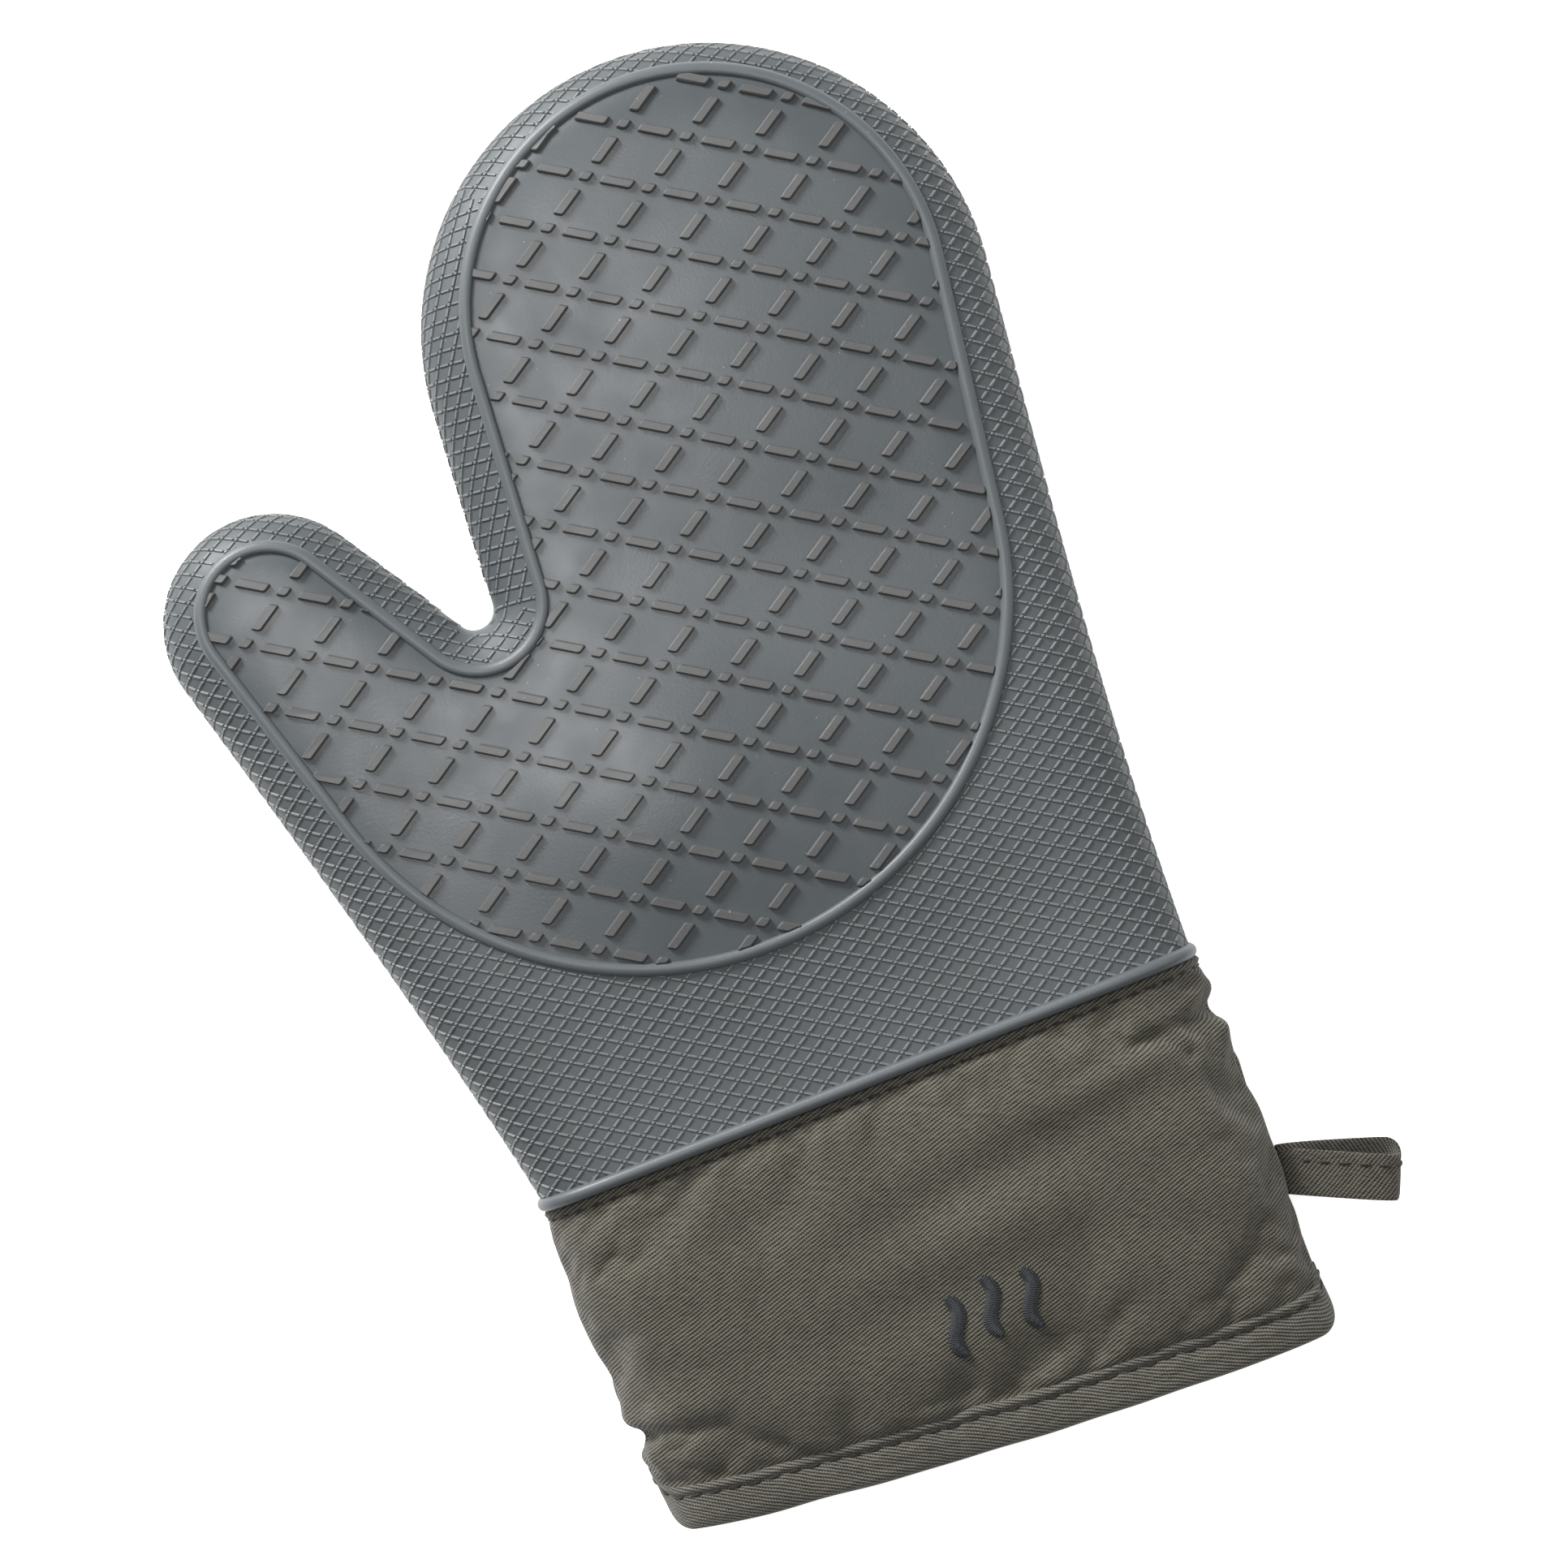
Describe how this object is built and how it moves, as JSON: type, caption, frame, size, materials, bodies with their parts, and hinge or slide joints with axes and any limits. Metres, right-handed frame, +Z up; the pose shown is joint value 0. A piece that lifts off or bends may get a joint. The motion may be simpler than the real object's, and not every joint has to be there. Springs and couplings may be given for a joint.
{
  "type": "oven mitt",
  "caption": "Right- or left-hand oven mitt: ribbed silicone hand with a raised grip panel, padded lining, twill cloth cuff with bound mouth and a tape hanging loop.",
  "frame": {"origin": "under the middle of the whole mitt's box, on the surface that it lies on", "axes": "+Y runs from the mouth to the fingertips, +X across the hand from the thumb side to the little finger side, +Z up, out of the grip face"},
  "size_m": [0.2211, 0.33, 0.0276],
  "materials": {
    "silicone": "satin moulded silicone",
    "wadding": "needled cotton wadding",
    "lining": "plain cotton",
    "cuff_twill": "cotton twill",
    "binding_twill": "cotton twill, folded strip",
    "tape_twill": "cotton twill, folded tape",
    "seam_thread": "polyester sewing thread",
    "embroidery_thread": "rayon embroidery thread, slight sheen"
  },
  "bodies": {
    "palm": {"palm_shell": "silicone", "palm_wadding_upper": "wadding", "palm_wadding_lower": "wadding", "palm_lining_upper": "lining", "palm_lining_lower": "lining"},
    "fingers": {"finger_shell": "silicone", "finger_wadding_upper": "wadding", "finger_wadding_lower": "wadding", "finger_lining_upper": "lining", "finger_lining_lower": "lining"},
    "thumb": {"thumb_shell": "silicone", "thumb_wadding_upper": "wadding", "thumb_wadding_lower": "wadding", "thumb_lining_upper": "lining", "thumb_lining_lower": "lining"},
    "cuff": {"cuff_cover_upper": "cuff_twill", "cuff_cover_lower": "cuff_twill", "cuff_wadding_upper": "wadding", "cuff_wadding_lower": "wadding", "cuff_lining_upper": "lining", "cuff_lining_lower": "lining", "cuff_binding": "binding_twill", "wrist_stitching": "seam_thread", "binding_stitching": "seam_thread", "embroidered_motif": "embroidery_thread"},
    "loop": {"hanging_loop": "tape_twill", "loop_stitching": "seam_thread"}
  },
  "joints": [
    {"name": "finger_bend", "type": "hinge", "parent": "palm", "child": "fingers", "pos_m": [0.02595, 0.0545, 0.018], "axis": [1, 0, 0], "range_deg": [0, 60], "stiffness_Nm_per_rad": 0.4},
    {"name": "thumb_bend", "type": "hinge", "parent": "palm", "child": "thumb", "pos_m": [-0.04205, 0.0545, 0.018], "axis": [0.788, 0.6157, 0], "range_deg": [0, 50], "stiffness_Nm_per_rad": 0.2},
    {"name": "cuff_fold", "type": "hinge", "parent": "palm", "child": "cuff", "pos_m": [0.00295, -0.0745, 0.022], "axis": [-1, 0, 0], "range_deg": [0, 35], "stiffness_Nm_per_rad": 0.3},
    {"name": "loop_swing", "type": "hinge", "parent": "cuff", "child": "loop", "pos_m": [0.08695, -0.129, 0.011], "axis": [-0.3746, -0.9272, 0], "range_deg": [-15, 80], "stiffness_Nm_per_rad": 0.01}
  ]
}
